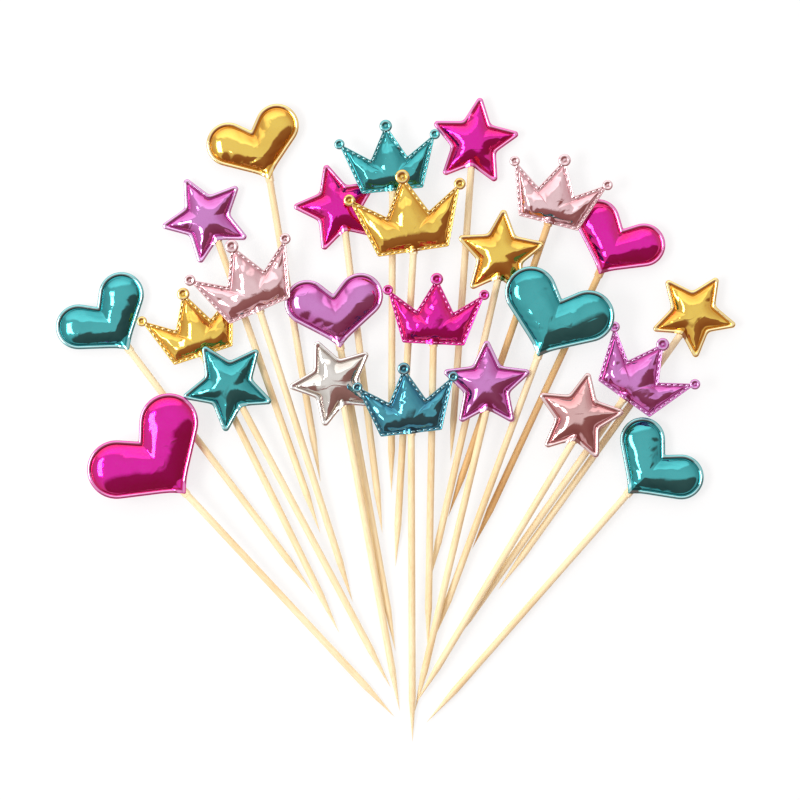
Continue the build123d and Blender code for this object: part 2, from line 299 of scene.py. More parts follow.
def soft_depth(topper, flat):
    """Depth inside the weld, with all of its sides felt at once, so that no ridge forms between them.

    A stretch of the weld pulls with its length over the cube of its distance. A long side that is
    near pulls with 2 over the distance squared, so close to the weld this is the plain depth.
    """
    weld = rings(topper, [RIM_W[topper.outline]], WELD_POINTS)[0]
    side = np.roll(weld, -1, axis=0) - weld
    length = np.linalg.norm(side, axis=1)
    way = side / length[:, None]
    from_start = flat[..., None, :] - weld
    along = (from_start * way).sum(axis=-1)
    beyond = length - along
    off = (from_start[..., 0] * way[:, 1] - from_start[..., 1] * way[:, 0]) ** 2 + LEAST_OFF
    pull = (along / np.sqrt(off + along**2) + beyond / np.sqrt(off + beyond**2)) / off
    return np.sqrt(2 / pull.sum(axis=-1))


print("deepest in a heart:", soft_depth(FAN[0], heart_rings).max().round(2), "mm")

# %% [markdown]
# ## The film
# The film is a little larger than the opening that it is welded into, because the die stretches it,
# and the sponge pushes it out. A smooth dome would be the easy way, and it would look like moulded
# plastic. Here a coarse sheet is welded at its edge and blown up as cloth for a few frames, and the
# folds that it forms at the notches and along the weld are carried over to the finer patch.

# %% Meshes from closed grids
def loop_faces(rows, around):
    """Quads between rows of a closed grid: each point, its neighbour, and the two in the next row."""
    start = np.arange(rows - 1)[:, None] * around
    here = np.arange(around)
    beside = (here + 1) % around
    faces = (start + here, start + beside, start + around + beside, start + around + here)
    return np.stack(faces, axis=-1).reshape(-1, 4)


def fan_faces(row_start, around, pole, flip=False):
    """Triangles from a closed row to one pole point."""
    here = row_start + np.arange(around)
    beside = row_start + (np.arange(around) + 1) % around
    first, second = (beside, here) if flip else (here, beside)
    return np.stack((first, second, np.full(around, pole)), axis=-1)


def mesh_object(name, points, *face_groups):
    """A mesh of these points and faces, at the origin, with smooth shading."""
    mesh = bpy.data.meshes.new(name)
    faces = [face for group in face_groups for face in group.tolist()]
    mesh.from_pydata(points.reshape(-1, 3).tolist(), [], faces)
    mesh.polygons.foreach_set("use_smooth", np.ones(len(faces), bool))
    piece = bpy.data.objects.new(name, mesh)
    bpy.context.scene.collection.objects.link(piece)
    return piece


print("quads between 3 rows of 8 points:", len(loop_faces(3, 8)))

# %% The welded sheet before it is blown up
FILM_AROUND, FILM_RINGS = 120, 15
START_H, UNEVEN, DOME_POWER = 0.9, 0.3, 0.8
WAVES = np.arange(2, 12)
rng = np.random.default_rng(24)


def dome(share):
    """The sponge's plain height, from 0 at the weld to 1: a parabola, to a power below 1."""
    return (1 - (1 - share) ** 2) ** DOME_POWER


def slow_waves(around):
    """Random but slow unevenness round a loop: a few sine waves, the shorter the lower."""
    angle = np.linspace(0, 2 * math.pi, around, endpoint=False)
    phase = rng.uniform(0, 2 * math.pi, len(WAVES))
    return (np.sin(np.outer(angle, WAVES) + phase) / WAVES).sum(axis=1)


def flat_film(topper):
    """The welded sheet: the cushion's rings, barely domed and slightly uneven."""
    flat = cushion_rings(topper, np.linspace(0, 1, FILM_RINGS), FILM_AROUND)
    depth = soft_depth(topper, flat)
    height = START_H * dome(depth / depth.max()) * (1 + UNEVEN * slow_waves(FILM_AROUND))
    sheet = np.concatenate((flat, height[..., None]), axis=-1)
    sheet[-1] = sheet[-1].mean(axis=0)
    return sheet


FLAT_FILM = {topper.name: flat_film(topper) for topper in FAN}
print("sheets:", len(FLAT_FILM), "of", FILM_AROUND, "by", FILM_RINGS, "points")

# %% The sheet as cloth
FILM_FRAMES, SIM_SCALE = 22, 0.016
FILM_SPARE = {"heart": 0.012, "star": 0.012, "crown": 0.022}


def film_cloth(topper, sheet):
    """A cloth object of the sheet, pinned at its weld, with spare film and air behind it.

    It is made more than half a metre wide, because the cloth's settings suit things of that size.
    """
    rows = FILM_RINGS - 1
    points = np.concatenate((sheet[:-1].reshape(-1, 3), sheet[-1, :1])) * SIM_SCALE
    quads = loop_faces(rows, FILM_AROUND)
    cap = fan_faces((rows - 1) * FILM_AROUND, FILM_AROUND, rows * FILM_AROUND)
    piece = mesh_object(topper.name + "_film", points, quads, cap)
    weld = piece.vertex_groups.new(name="weld")
    weld.add(range(FILM_AROUND), 1.0, "REPLACE")
    cloth = piece.modifiers.new("cloth", "CLOTH")
    settings = cloth.settings
    settings.vertex_group_mass = "weld"
    settings.quality = 6
    settings.mass = 0.2
    settings.tension_stiffness = settings.compression_stiffness = 60
    settings.shear_stiffness = 30
    settings.bending_stiffness = 0.6
    settings.air_damping = 3
    settings.use_pressure = True
    settings.uniform_pressure_force = 5
    settings.shrink_min = -FILM_SPARE[topper.outline]
    settings.effector_weights.gravity = 0
    cloth.point_cache.frame_start, cloth.point_cache.frame_end = 1, FILM_FRAMES
    return piece


print("spare film:", {outline: f"{spare:.1%}" for outline, spare in FILM_SPARE.items()})


# %% Blow the film up
def blown_points(piece):
    """Where the cloth's points have come to, in mm, as rings with the pole repeated."""
    mesh = piece.evaluated_get(bpy.context.evaluated_depsgraph_get()).data
    points = np.empty(3 * len(mesh.vertices))
    mesh.vertices.foreach_get("co", points)
    points = points.reshape(-1, 3) / SIM_SCALE
    pole = np.broadcast_to(points[-1], (1, FILM_AROUND, 3))
    return np.concatenate((points[:-1].reshape(-1, FILM_AROUND, 3), pole))


FILM = dict(FLAT_FILM)
cloths = {topper.name: film_cloth(topper, FLAT_FILM[topper.name]) for topper in FAN}
for step in range(1, FILM_FRAMES + 1):
    bpy.context.scene.frame_set(step)
FILM = {name: blown_points(piece) for name, piece in cloths.items()}
for piece in cloths.values():
    bpy.data.meshes.remove(piece.data)
bpy.context.scene.frame_set(1)
print("film heights:", {name: round(float(film[..., 2].max()), 2) for name, film in FILM.items()})

# %% [markdown]
# ## The patches
# A patch runs from its cut edge over the welded rim, down into the weld and up over the film. Rim
# and cushion could be two meshes set together, but the weld would then be a slit between them, so a
# patch is one closed grid: the loops go round the outline and the rows go inwards. The rim's section
# is a short list of rows: a share of the rim's width, a height and a shade value, where 1 is painted
# shade at the cut edge and in the groove, and -1 a painted highlight on the raised bead. Over the
# stick the film is stretched like a tent.

# %% The rim's section
# Each row: share of the rim's width, height, then painted shade (up to 1, at the cut edge and in the
# groove) or painted highlight (down to -1, on the raised bead).
BEAD_RIM = (
    (0.0, 0.0, 1.0),
    (0.0, 0.35, 1.0),
    (0.03, 0.55, 0.9),
    (0.1, 0.78, 0.2),
    (0.22, 0.92, -0.8),
    (0.42, 0.96, -1.0),
    (0.64, 0.9, -0.9),
    (0.77, 0.7, 0.0),
    (0.84, 0.54, 0.9),
    (0.93, 0.46, 1.0),
)
STITCHED_RIM = (
    (0.0, 0.0, 0.9),
    (0.0, 0.35, 0.9),
    (0.04, 0.55, 0.7),
    (0.11, 0.68, 0.0),
    (0.2, 0.7, -0.3),
    (0.29, 0.58, 0.6),
    (0.38, 0.5, 0.8),
    (0.69, 0.5, 0.8),
    (0.81, 0.56, 0.5),
    (0.94, 0.5, 0.7),
)
RIM_SECTION = {"heart": BEAD_RIM, "star": BEAD_RIM, "crown": STITCHED_RIM}
print("rows over a rim:", {outline: len(section) for outline, section in RIM_SECTION.items()})


# %% Finer rows and loops
def cubic_rows(rows, where):
    """Rows between the rows of an array, by a cubic through the four nearest."""
    last = len(rows) - 1
    start = np.clip(np.floor(where).astype(int), 0, last - 1)
    t = (where - start)[:, None, None]
    before, first, second, after = (rows[np.clip(start + k, 0, last)] for k in (-1, 0, 1, 2))
    slope_1, slope_2 = (second - before) / 2, (after - first) / 2
    return (
        first * (2 * t**3 - 3 * t**2 + 1)
        + slope_1 * (t**3 - 2 * t**2 + t)
        + second * (3 * t**2 - 2 * t**3)
        + slope_2 * (t**3 - t**2)
    )


def more_around(loops, around):
    """Closed loops with more points each, from the loops' own frequencies."""
    spectrum = np.fft.rfft(loops, axis=1)
    return np.fft.irfft(spectrum, n=around, axis=1) * (around / loops.shape[1])


finer = more_around(cubic_rows(heart_rings, np.linspace(0, 4, 9)), 200)
print("a heart's rings go from", heart_rings.shape[:2], "to", finer.shape[:2], "points")

# %% The film on a finer grid
FILM_H = 3.1
SPONGE = {"heart": 0.5, "star": 0.65, "crown": 0.5}
CLOTH_BLUR, CLOTH_SHIFT, CLOTH_TOP = 1.0, 1.0, 99
CLOTH_END, CLOTH_FADE = 0.8, 0.5


def film_lift(topper, film, share, depth):
    """How far the film stands from the flat rings: the cloth's own shape and the sponge's, mixed.

    The cloth is evened out over a point or so, and scaled so that its top has the real height. On
    top it lies on the sponge, so its own share ends there.
    """
    start = FLAT_FILM[topper.name] * (1, 1, 0)
    moved = blur(film - start, CLOTH_BLUR)
    moved[..., :2] = np.clip(moved[..., :2], -CLOTH_SHIFT, CLOTH_SHIFT)
    moved[..., 2] *= FILM_H / np.percentile(moved[..., 2], CLOTH_TOP)
    lift = more_around(cubic_rows(moved, share * (FILM_RINGS - 1)), depth.shape[1])
    sponge = FILM_H * dome(depth / depth.max())
    fade = np.clip((CLOTH_END - share) / CLOTH_FADE, 0, 1)
    cloth_share = (1 - SPONGE[topper.outline]) * fade[:, None]
    lift[..., :2] *= cloth_share[..., None]
    lift[..., 2] = cloth_share * np.minimum(lift[..., 2], FILM_H) + (1 - cloth_share) * sponge
    return lift


print("film stands up to", FILM_H, "mm over its weld")

# %% Heights drawn over the stick
STICK_COVER, COVER_HALF = 1.8, 3.0
COVER_FADE, COVER_BLEND = 1.0, 0.25


def smooth_max(first, second, width):
    """The larger of two heights, with the change-over rounded to the width."""
    return (first + second + np.sqrt((first - second) ** 2 + width**2)) / 2


def over_stick(topper, x, y, height):
    """Stretch the film over the stick: the larger of the height and a bell curve over its axis."""
    turn = PLACES[topper.name].turn
    across = x * math.cos(turn) + y * math.sin(turn)
    up = y * math.cos(turn) - x * math.sin(turn)
    inside = np.clip((topper.grip + COVER_FADE - up) / COVER_FADE, 0, 1)
    cover = STICK_COVER * np.exp(-((across / COVER_HALF) ** 2)) * inside
    return np.where(height > 0, smooth_max(height, cover, COVER_BLEND), height)


print("a rim of 0.5 mm rises to", over_stick(FAN[0], 0.0, 0.0, np.array(0.5)).round(2), "mm")

# %% How steeply the film is drawn
LEAST_AREA = 1e-5


def steepness(x, y, height):
    """Slope of a height over the plane, on a closed grid: its change along both of the grid's ways.

    The two changes are turned into slopes along x and y by solving the two equations they make.
    Where the grid shrinks to a point, the slope is taken as 0.
    """
    grids = (x, y, height)
    rows = [np.gradient(values, axis=0) for values in grids]
    loops = [(np.roll(values, -1, axis=1) - np.roll(values, 1, axis=1)) / 2 for values in grids]
    area = loops[0] * rows[1] - rows[0] * loops[1]
    area = np.where(np.abs(area) < LEAST_AREA, np.inf, area)
    slope_x = (loops[2] * rows[1] - rows[2] * loops[1]) / area
    slope_y = (rows[2] * loops[0] - loops[2] * rows[0]) / area
    return np.hypot(slope_x, slope_y)


flat_slope = steepness(*FLAT_FILM[FAN[0].name].transpose(2, 0, 1))
print("before it is blown up, a heart's film has slopes up to", flat_slope.max().round(2))

# %% A patch's rows of points
WELD_Z = 0.46
NEAR_WELD, ROWS_NEAR, ROWS_PAST = 0.25, 10, 20
GROOVE_SHADE_W = 0.4
SLOPE_SHADE_FROM, SLOPE_SHADE_RANGE = 0.12, 0.7


def patch_grid(topper, film, around):
    """A patch's rows of points in the head's axes: x, y, height, and each point's painted shades.

    The painted shade and highlight is the rim section's own, with painted shade in the weld's groove
    that ends close behind the weld. The painted slope shade is the film's steepness: steep flanks are
    darker.
    """
    section = np.array(RIM_SECTION[topper.outline])
    near, past = np.linspace(0, NEAR_WELD, ROWS_NEAR), np.linspace(NEAR_WELD, 1, ROWS_PAST)
    share = np.concatenate((near, past[1:]))
    rim = rings(topper, section[:, 0] * RIM_W[topper.outline], around)
    flat = cushion_rings(topper, share, around)
    depth = soft_depth(topper, flat)
    lift = film_lift(topper, film, share, depth)
    x, y = np.concatenate((rim, flat + lift[..., :2])).transpose(2, 0, 1)
    rim_z, rim_crease = (np.broadcast_to(section[:, k, None], rim.shape[:2]) for k in (1, 2))
    height = np.concatenate((rim_z, WELD_Z + lift[..., 2]))
    # Painted shade in the weld's groove, fading out inwards.
    crease = np.concatenate((rim_crease, np.clip(1 - depth / GROOVE_SHADE_W, 0, 1)))
    # Painted slope shade: the steeper the film, the darker its colour.
    draw = np.clip(steepness(x, y, height) - SLOPE_SHADE_FROM, 0, SLOPE_SHADE_RANGE) / SLOPE_SHADE_RANGE
    draw[: len(section)] = 0
    return x, y, height, crease, draw


heart_height = patch_grid(FAN[0], FILM[FAN[0].name], 200)[2]
print("a heart's patch:", len(heart_height), "rows,", heart_height.max().round(2), "mm high")

# %% A patch as one closed grid
GLUE_GAP = 0.05
PATCH_SPACING, OUTLINE_POINTS = 0.5, 400


def mark(piece, name, values):
    """Give each point of a piece a number that its material can read by name."""
    piece.data.attributes.new(name, "FLOAT", "POINT").data.foreach_set("value", values)


def edge_length(topper):
    """Length of a patch's cut edge: the steps between points along it, added up."""
    outline = rings(topper, [0.0], OUTLINE_POINTS)[0]
    return np.linalg.norm(np.roll(outline, -1, axis=0) - outline, axis=1).sum()


def patch(topper, film, side, name):
    """A closed patch: its grid with a pole at the top, and a flat back to glue to the other."""
    around = int(round(edge_length(topper) / PATCH_SPACING))
    x, y, height, crease, draw = patch_grid(topper, film, around)
    height = over_stick(topper, x, y, height)
    place = PLACES[topper.name]
    points = place.from_head(x, y, side * (GLUE_GAP / 2 + height))
    middle = topper.size * np.array(CENTRE[topper.outline])
    back = place.from_head(middle[:1], middle[1:], side * GLUE_GAP / 2)
    points = np.concatenate((points[:-1].reshape(-1, 3), points[-1].mean(axis=0)[None], back))
    rows = len(x) - 1
    quads = loop_faces(rows, around)
    cap = fan_faces((rows - 1) * around, around, rows * around)
    base = fan_faces(0, around, rows * around + 1, flip=True)
    groups = (quads, cap, base) if side > 0 else (quads[:, ::-1], cap[:, ::-1], base[:, ::-1])
    piece = mesh_object(name, points, *groups)
    # The material reads the painted shade and highlight, and the painted slope shade, from these
    # numbers.
    mark(piece, "crease", np.concatenate((crease[:-1].ravel(), (0.0, 1.0))))
    mark(piece, "draw", np.concatenate((draw[:-1].ravel(), (0.0, 0.0))))
    return piece


print("a heart's cut edge is", edge_length(FAN[0]).round(1), "mm long")


# %% Make both patches of every topper
def next_film(topper):
    """The film of the next topper of the same outline, so that a back differs from its front."""
    same = [other for other in FAN if other.outline == topper.outline]
    other = same[(same.index(topper) + 1) % len(same)]
    return FILM[other.name] / (other.size, other.size, 1) * (topper.size, topper.size, 1)


PATCHES = {}
for topper in FAN:
    front = patch(topper, FILM[topper.name], 1, topper.name + "_front_patch")
    back = patch(topper, next_film(topper), -1, topper.name + "_back_patch")
    PATCHES[topper.name] = (front, back)
    for piece in (front, back):
        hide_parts(topper.name + "_pads")
        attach(piece, topper.name)
patch_faces = sum(len(piece.data.polygons) for pair in PATCHES.values() for piece in pair)
print("patches:", 2 * len(PATCHES), "with", patch_faces, "faces")

# %% [markdown]
# ## The crowns' stitches and discs
# The die presses a row of stitch marks into a crown's rim, and a ring with a dimple into the disc on
# each spike. A bump in the material could suggest them, but from the side they would be gone, so
# each stitch is a small half-round bead, and each disc a profile turned about its own axis.

# %% Where the stitches go
STITCH_PITCH, STITCH_DEPTH = 2.6, 0.85
STITCH_AHEAD, LINE_POINTS = 0.4, 900
CROWNS = [topper for topper in FAN if topper.outline == "crown"]


def stitch_places(topper):
    """Even steps along the rim's middle line: place and direction of each stitch."""
    line = rings(topper, [STITCH_DEPTH], LINE_POINTS)[0]
    step = np.linalg.norm(np.roll(line, -1, axis=0) - line, axis=1)
    walked = np.concatenate(([0.0], step.cumsum()))
    closed = np.concatenate((line, line[:1]))
    count = int(round(walked[-1] / STITCH_PITCH))
    at = (np.arange(count) + 0.5) * walked[-1] / count
    ahead = at + STITCH_AHEAD
    place = np.stack([np.interp(at, walked, closed[:, k]) for k in (0, 1)], axis=-1)
    front = np.stack([np.interp(ahead % walked[-1], walked, closed[:, k]) for k in (0, 1)], axis=-1)
    way = (front - place) / np.linalg.norm(front - place, axis=1)[:, None]
    return place, way


print("stitches on a face:", {topper.name: len(stitch_places(topper)[0]) for topper in CROWNS})

# %% One stitch
STITCH_HALF = (0.95, 0.36, 0.4)
STITCH_AROUND, STITCH_ROWS = 12, 4
BLUNT_ENDS, FLAT_TOP = 0.6, 0.7


def stitch_bead():
    """One half-round dash along x: an oval with blunt ends that is drawn in as it rises.

    The oval is a circle's cosine and sine, each to a power below 1, which squares its ends off.
    """
    angle = (np.arange(STITCH_AROUND) + 0.5) * 2 * math.pi / STITCH_AROUND
    lift = np.linspace(0, 1, STITCH_ROWS, endpoint=False) * math.pi / 2
    circle = np.stack((np.cos(angle), np.sin(angle)))
    blunt = np.sign(circle) * np.abs(circle) ** BLUNT_ENDS
    flat = np.cos(lift)[:, None] ** FLAT_TOP * blunt[:, None]
    along, across = STITCH_HALF[0] * flat[0], STITCH_HALF[1] * flat[1]
    rise = np.broadcast_to(STITCH_HALF[2] * np.sin(lift)[:, None], along.shape)
    grid = np.stack((along, across, rise), axis=-1).reshape(-1, 3)
    points = np.concatenate((grid, [(0, 0, STITCH_HALF[2]), (0, 0, 0)]))
    top = fan_faces(len(grid) - STITCH_AROUND, STITCH_AROUND, len(grid))
    base = fan_faces(0, STITCH_AROUND, len(grid) + 1, flip=True)
    return points, loop_faces(STITCH_ROWS, STITCH_AROUND), np.concatenate((top, base))


print("a stitch has", len(stitch_bead()[0]), "points")

# %% Stitch beads along a crown's rim
STITCH_Z = 0.45
# A bead's top above this height gets a painted highlight, and its base painted shade.
HIGHLIGHT_FROM_Z, BEAD_TOP_HIGHLIGHT, BEAD_BASE_SHADE = 0.1, -1.0, 0.5


def copies(faces, count, step):
    """Faces of one shape for all of its copies: each copy's points start one step further on."""
    first = (np.arange(count) * step)[:, None, None]
    return (first + faces).reshape(-1, faces.shape[1])


def stitches(topper):
    """All of a crown's stitches: a bead at each place, turned its way, on both faces."""
    place, way = stitch_places(topper)
    bead, quads, ends = stitch_bead()
    x = place[:, :1] + bead[:, 0] * way[:, :1] - bead[:, 1] * way[:, 1:]
    y = place[:, 1:] + bead[:, 0] * way[:, 1:] + bead[:, 1] * way[:, :1]
    z = over_stick(topper, x, y, np.full_like(x, STITCH_Z)) + bead[:, 2]
    head = PLACES[topper.name]
    points = np.concatenate((head.from_head(x, y, z), head.from_head(x, y, -z)))
    upper = [copies(faces, len(place), len(bead)) for faces in (quads, ends)]
    lower = [x.size + faces[:, ::-1] for faces in upper]
    piece = mesh_object(topper.name + "_stitches", points, *upper, *lower)
    # Painted highlight on each bead's top, painted shade at its base.
    bead_crease = np.where(bead[:, 2] > HIGHLIGHT_FROM_Z, BEAD_TOP_HIGHLIGHT, BEAD_BASE_SHADE)
    mark(piece, "crease", np.tile(bead_crease, 2 * len(place)))
    return piece


def finish_trim(piece, topper):
    """Let a crown's trim ride with its crown; its foil is given later, with the patches'."""
    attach(piece, topper.name)
    return piece


STITCHES = {topper.name: finish_trim(stitches(topper), topper) for topper in CROWNS}
print("stitch faces:", sum(len(piece.data.polygons) for piece in STITCHES.values()))

# %% Discs on a crown's spikes
DISC_AROUND = 32
# Rows of a disc's section: radius share, height, then painted shade on the dimple's slope and at the
# edge (up to 1) or painted highlight on the middle and the ring's crest (down to -1).
DISC_SECTION = np.array(
    (
        (0.0, 0.86, -0.8),
        (0.14, 0.84, -0.4),
        (0.25, 0.78, 0.8),
        (0.38, 0.8, 1.0),
        (0.5, 0.92, 0.3),
        (0.62, 1.0, -0.7),
        (0.76, 1.02, -0.9),
        (0.87, 0.95, -0.2),
        (0.95, 0.8, 0.8),
        (1.0, 0.45, 1.0),
    )
)


def discs(topper):
    """Three turned discs: the section goes from the front's middle out to the edge and back again."""
    section = np.concatenate((DISC_SECTION, DISC_SECTION[::-1] * (1, -1, 1)))
    angle = np.arange(DISC_AROUND) * 2 * math.pi / DISC_AROUND
    left_disc = (-SIDE_DISC[0], *SIDE_DISC[1:])
    middles = topper.size * np.array((SIDE_DISC, TOP_DISC, left_disc))
    radius = section[1:-1, 0] * middles[:, 2:]
    x = middles[:, :1, None] + radius[:, :, None] * np.cos(angle)
    y = middles[:, 1:2, None] + radius[:, :, None] * np.sin(angle)
    z = np.broadcast_to(section[1:-1, 1][None, :, None], x.shape)
    place = PLACES[topper.name]
    body = place.from_head(x, y, z).reshape(len(middles), -1, 3)
    poles = place.from_head(middles[:, :1], middles[:, 1:2], section[[0, -1], 1][None, :])
    points = np.concatenate((body, poles), axis=1)
    rows = len(section) - 2
    ring_points = rows * DISC_AROUND
    quads = loop_faces(rows, DISC_AROUND)[:, ::-1]
    top = fan_faces(0, DISC_AROUND, ring_points)
    bottom = fan_faces(ring_points - DISC_AROUND, DISC_AROUND, ring_points + 1, flip=True)
    groups = [copies(faces, len(middles), points.shape[1]) for faces in (quads, top, bottom)]
    piece = mesh_object(topper.name + "_discs", points, *groups)
    # Painted shade and highlight of each disc's rows.
    crease = np.concatenate((np.repeat(section[1:-1, 2], DISC_AROUND), section[[0, -1], 2]))
    mark(piece, "crease", np.tile(crease, len(middles)))
    return piece


DISCS = {topper.name: finish_trim(discs(topper), topper) for topper in CROWNS}
print("crowns with discs:", len(DISCS))

# %% [markdown]
# ## Writing shaders as sums
# A material is a graph of nodes, and most of it is arithmetic. Making each Math node and its links
# by hand takes many lines, and the sum can't be read from them. A small class that wraps one socket
# lets that arithmetic be written as Python: adding, subtracting or multiplying two wrapped sockets
# makes the Math node. Any other node comes from one method that takes its kind, its settings and
# what goes into its sockets.

# %% A socket that can be calculated with
class Flow:
    """One output of a shader node, with arithmetic that adds Math nodes behind it."""

    def __init__(self, tree, socket):
        self.tree, self.socket = tree, socket

    @classmethod
    def node(cls, tree, kind, settings=None, sockets=None, output=0, **named):
        """A new node's output: its kind, its settings, then values or links for its sockets.

        A socket goes by its name, with _ for a space, or by its number where two share a name.
        """
        made = tree.nodes.new("ShaderNode" + kind)
        for key, value in (settings or {}).items():
            setattr(made, key, value)
        by_name = {key.replace("_", " "): value for key, value in named.items()}
        for key, value in {**(sockets or {}), **by_name}.items():
            feed(tree, made.inputs[key], value)
        return cls(tree, made.outputs[output])

    def math(self, operation, *values, clamp=False):
        """A Math node's result on these values, held between 0 and 1 if it is clamped."""
        settings = {"operation": operation, "use_clamp": clamp}
        return self.node(self.tree, "Math", settings, dict(enumerate(values)))

    def __add__(self, other):
        return self.math("ADD", self, other)

    def __sub__(self, other):
        return self.math("SUBTRACT", self, other)

    def __rsub__(self, other):
        return self.math("SUBTRACT", other, self)

    def __mul__(self, other):
        return self.math("MULTIPLY", self, other)

    __radd__, __rmul__ = __add__, __mul__

    def between(self, low, high):
        """0 below low, 1 above high, and an even slope between them."""
        return self.math("DIVIDE", self - low, high - low, clamp=True)

    def size(self):
        """The value without its sign."""
        return self.math("ABSOLUTE", self)


def feed(tree, socket, value):
    """Link a wrapped socket to an input, or set the input to a plain value."""
    if isinstance(value, Flow):
        tree.links.new(value.socket, socket)
    else:
        socket.default_value = value


print("a socket's own methods:", [name for name in vars(Flow) if not name.startswith("_")])


# %% Mixed colours and plain surfaces
def mix_colours(tree, factor, first, second):
    """Blend two colours by a factor."""
    sockets = {0: factor, 6: first, 7: second}
    return Flow.node(tree, "Mix", {"data_type": "RGBA"}, sockets, output=2)


def new_surface(name, **constants):
    """A material with one Principled shader, whose unchanging values are set on its sockets."""
    material = bpy.data.materials.new(name)
    material.use_nodes = True
    shader = material.node_tree.nodes["Principled BSDF"]
    for key, value in constants.items():
        shader.inputs[key.replace("_", " ")].default_value = value
    return material, material.node_tree, shader


print("materials on the solids so far:", len(bpy.data.materials))

# %% [markdown]
# ## Foil
# The film is clear plastic with metal behind it. The metal gives reflections in the foil's own
# colour, and the clear face over it adds white highlights, so the shader is a metal under a coat. One
# colour all over would look like painted tin. The colour is painted deeper on steep flanks of the
# film as painted shade, folds, grooves and the cut edge get painted shade, and raised bands a painted
# highlight. Those follow the shape, so each patch carries them as numbers on its points. Small dents
# follow nothing, and noise on the piece's own place gives them, at the size of a dent and of a crease.

# %% Colours of the foils
# Each foil: its plain tone, and a deeper tone used for random dents and for painted shade.
FOILS = {
    "gold": ((0.90, 0.62, 0.11), (0.56, 0.22, 0.008)),
    "teal": ((0.065, 0.44, 0.46), (0.004, 0.20, 0.22)),
    "blue": ((0.07, 0.34, 0.42), (0.006, 0.11, 0.19)),
    "magenta": ((0.78, 0.004, 0.40), (0.56, 0.0, 0.10)),
    "purple": ((0.66, 0.24, 0.62), (0.42, 0.03, 0.24)),
    "pink": ((0.86, 0.60, 0.63), (0.60, 0.29, 0.32)),
    "rose": ((0.76, 0.48, 0.47), (0.48, 0.17, 0.18)),
    "silver": ((0.82, 0.78, 0.74), (0.46, 0.40, 0.35)),
}
print("foils:", ", ".join(FOILS))

# %% The foil's film
RUB_SHARE, WORN_EDGE, WRINKLE_W = 0.2, (0.45, 0.7), 0.05
# Random darker dents, painted shade on steep flanks and in folds, and a painted highlight mixed towards
# white.
WORN_DEEP, SLOPE_SHADE_DEEP, FOLD_SHADE_DEEP, BAND_HIGHLIGHT = 0.2, 0.75, 0.8, 0.3
WRINKLE_H, RUB_H = 0.1, 0.05


def foil(name, light, dent_and_shade_tone):
    """Metal film: random darker dents, painted shade on steep flanks and in folds, and painted
    highlight on raised bands.
    """
    material, tree, shader = new_surface(
        name + "_foil_film", Metallic=1.0, Coat_Weight=0.6, Coat_Roughness=0.03
    )
    place = Flow.node(tree, "TexCoord", output="Object")
    dents = Flow.node(tree, "TexNoise", Vector=place, Scale=60.0, Detail=2.0, Distortion=0.6)
    rubs = Flow.node(tree, "TexNoise", Vector=place, Scale=380.0, Detail=3.0, Distortion=1.4)
    waves = Flow.node(tree, "TexNoise", Vector=place, Scale=75.0, Detail=1.0, Distortion=1.0)
    wrinkles = 1.0 - (waves - 0.5).size().between(0.0, WRINKLE_W)
    crease = Flow.node(tree, "Attribute", {"attribute_name": "crease"}, output="Fac")
    draw = Flow.node(tree, "Attribute", {"attribute_name": "draw"}, output="Fac")
    worn = (dents * (1 - RUB_SHARE) + rubs * RUB_SHARE).between(*WORN_EDGE)
    # Random darker dents plus painted shade on steep flanks and in folds and grooves.
    deep_tone_and_shade = worn * WORN_DEEP + draw * SLOPE_SHADE_DEEP + crease.between(0.0, 1.0) * FOLD_SHADE_DEEP
    tone = mix_colours(tree, deep_tone_and_shade.between(0.0, 1.0), (*light, 1), (*dent_and_shade_tone, 1))
    # Painted highlight: raised bands mixed towards white.
    painted_highlight = (0.0 - crease).between(0.0, 1.0) * BAND_HIGHLIGHT
    tone = mix_colours(tree, painted_highlight, tone, (1, 1, 1, 1))
    feed(tree, shader.inputs["Base Color"], tone)
    feed(tree, shader.inputs["Roughness"], 0.04 + 0.08 * rubs)
    relief = dents + wrinkles * WRINKLE_H + rubs * RUB_H
    bump = Flow.node(tree, "Bump", Height=relief, Strength=0.3, Distance=0.0007)
    feed(tree, shader.inputs["Normal"], bump)
    return material


FOIL_FILM = {name: foil(name, *tones) for name, tones in FOILS.items()}
for topper in FAN:
    pieces = list(PATCHES[topper.name])
    if topper.outline == "crown":
        pieces += [STITCHES[topper.name], DISCS[topper.name]]
    for piece in pieces:
        piece.data.materials.append(FOIL_FILM[topper.foil])
print("foil materials:", len(FOIL_FILM))

# %% [markdown]
# ## Bamboo
# The sticks are split bamboo, rounded and sharpened: straight fibres run along them, with paler and
# browner bands, and the colour differs from stick to stick. A picture of wood would have to be
# wrapped round each stick and would repeat; noise that is stretched along the stick does neither.
# The solid's mesh stays as it is, so the pattern is turned instead: a Mapping node lays its Y axis
# along the stick.

# %% Sticks
PALE_BAMBOO = ((0.95, 0.81, 0.53), (0.76, 0.49, 0.21))
TAN_BAMBOO = ((0.80, 0.53, 0.24), (0.58, 0.30, 0.10))
TAN_STICKS = ("pink_crown_right", "magenta_heart_right")
FIBRE_SCALE, FIBRE_EDGE, FIBRE_BROWN = (1.0, 0.02, 1.0), (0.42, 0.72), 0.5
BAND_EDGE, BAND_BROWN = (0.45, 0.75), 0.45


